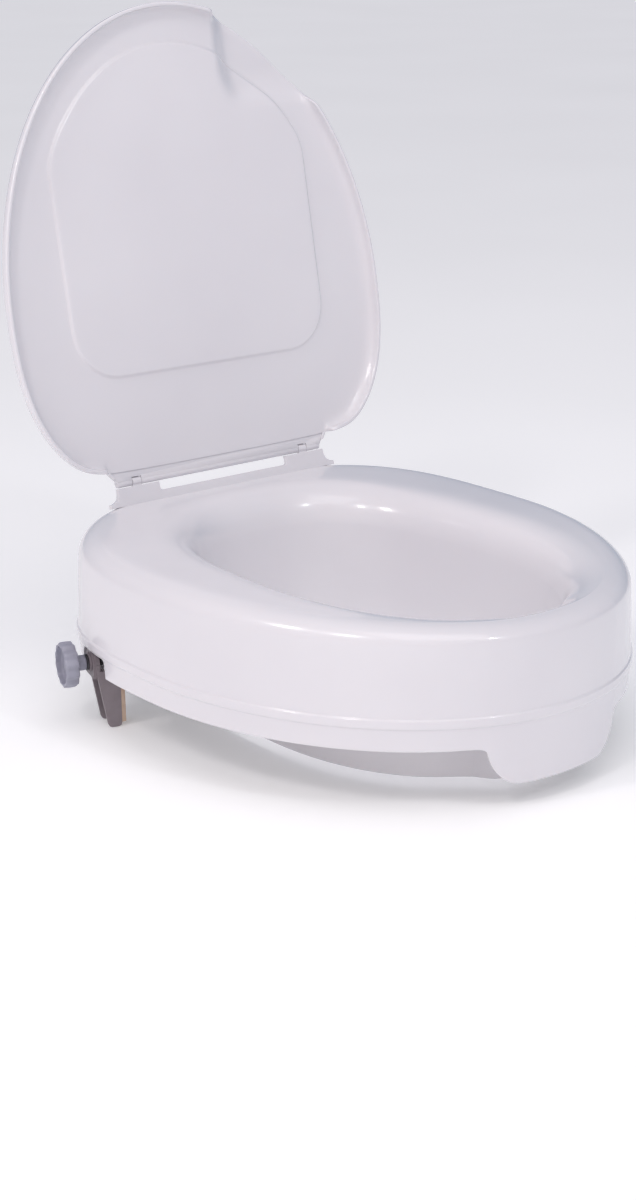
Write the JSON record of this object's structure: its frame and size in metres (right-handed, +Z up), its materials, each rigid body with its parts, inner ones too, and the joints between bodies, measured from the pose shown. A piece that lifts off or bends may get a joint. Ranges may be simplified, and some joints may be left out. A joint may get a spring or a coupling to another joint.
{
  "type": "raised toilet seat",
  "caption": "Hollow moulded raised toilet seat with an open contoured deck, a hinged lid, a front apron and side screw clamps that grip the bowl.",
  "frame": {"origin": "middle of the plane in which the rest pads meet the bowl rim, on the seat's widest line", "axes": "+Z up, -Y to the front of the seat, +Y to the lid hinge, +X to the sitter's left as they sit"},
  "size_m": [0.3988, 0.4613, 0.5032],
  "materials": {
    "shell": "glossy moulded",
    "clamp_plastic": "satin moulded",
    "rest_rubber": "matte",
    "jaw_rubber": "matte",
    "steel": "zinc plated",
    "dark_steel": "dark oxide"
  },
  "bodies": {
    "seat": {"seat_body": "shell", "front_left_pad": "rest_rubber", "front_right_pad": "rest_rubber", "rear_left_pad": "rest_rubber", "rear_right_pad": "rest_rubber", "hinge_bracket": "shell", "left_hinge_pin": "steel", "right_hinge_pin": "steel", "left_nut": "steel", "right_nut": "steel"},
    "lid": {"lid": "shell"},
    "left_clamp": {"left_clamp_bracket": "clamp_plastic", "left_jaw_pad": "jaw_rubber"},
    "left_turning_screw": {"left_retaining_ring": "dark_steel", "left_thrust_washer": "dark_steel", "left_clamp_screw": "dark_steel", "left_knob": "clamp_plastic"},
    "right_clamp": {"right_clamp_bracket": "clamp_plastic", "right_jaw_pad": "jaw_rubber"},
    "right_turning_screw": {"right_retaining_ring": "dark_steel", "right_thrust_washer": "dark_steel", "right_clamp_screw": "dark_steel", "right_knob": "clamp_plastic"}
  },
  "joints": [
    {"name": "lid_hinge", "type": "hinge", "parent": "seat", "child": "lid", "pos_m": [0, 0.16, 0.1155], "axis": [1, 0, 0], "range_deg": [0, 103]},
    {"name": "left_clamp_slide", "type": "slide", "parent": "seat", "child": "left_clamp", "axis": [-0.9563, 0.2924, 0], "range_m": [-0.004, 0.008]},
    {"name": "left_screw_turn", "type": "hinge", "parent": "left_clamp", "child": "left_turning_screw", "pos_m": [-0.176, 0.092, 0.008], "axis": [-0.9563, 0.2924, 0], "range_deg": [-1152, 2304]},
    {"name": "right_clamp_slide", "type": "slide", "parent": "seat", "child": "right_clamp", "axis": [0.9563, 0.2924, 0], "range_m": [-0.004, 0.008]},
    {"name": "right_screw_turn", "type": "hinge", "parent": "right_clamp", "child": "right_turning_screw", "pos_m": [0.176, 0.092, 0.008], "axis": [0.9563, 0.2924, 0], "range_deg": [-1152, 2304]}
  ],
  "couplings": [
    {"joint": "left_screw_turn", "follows": "left_clamp_slide", "rad_per_m": 5026.5},
    {"joint": "right_screw_turn", "follows": "right_clamp_slide", "rad_per_m": 5026.5}
  ]
}
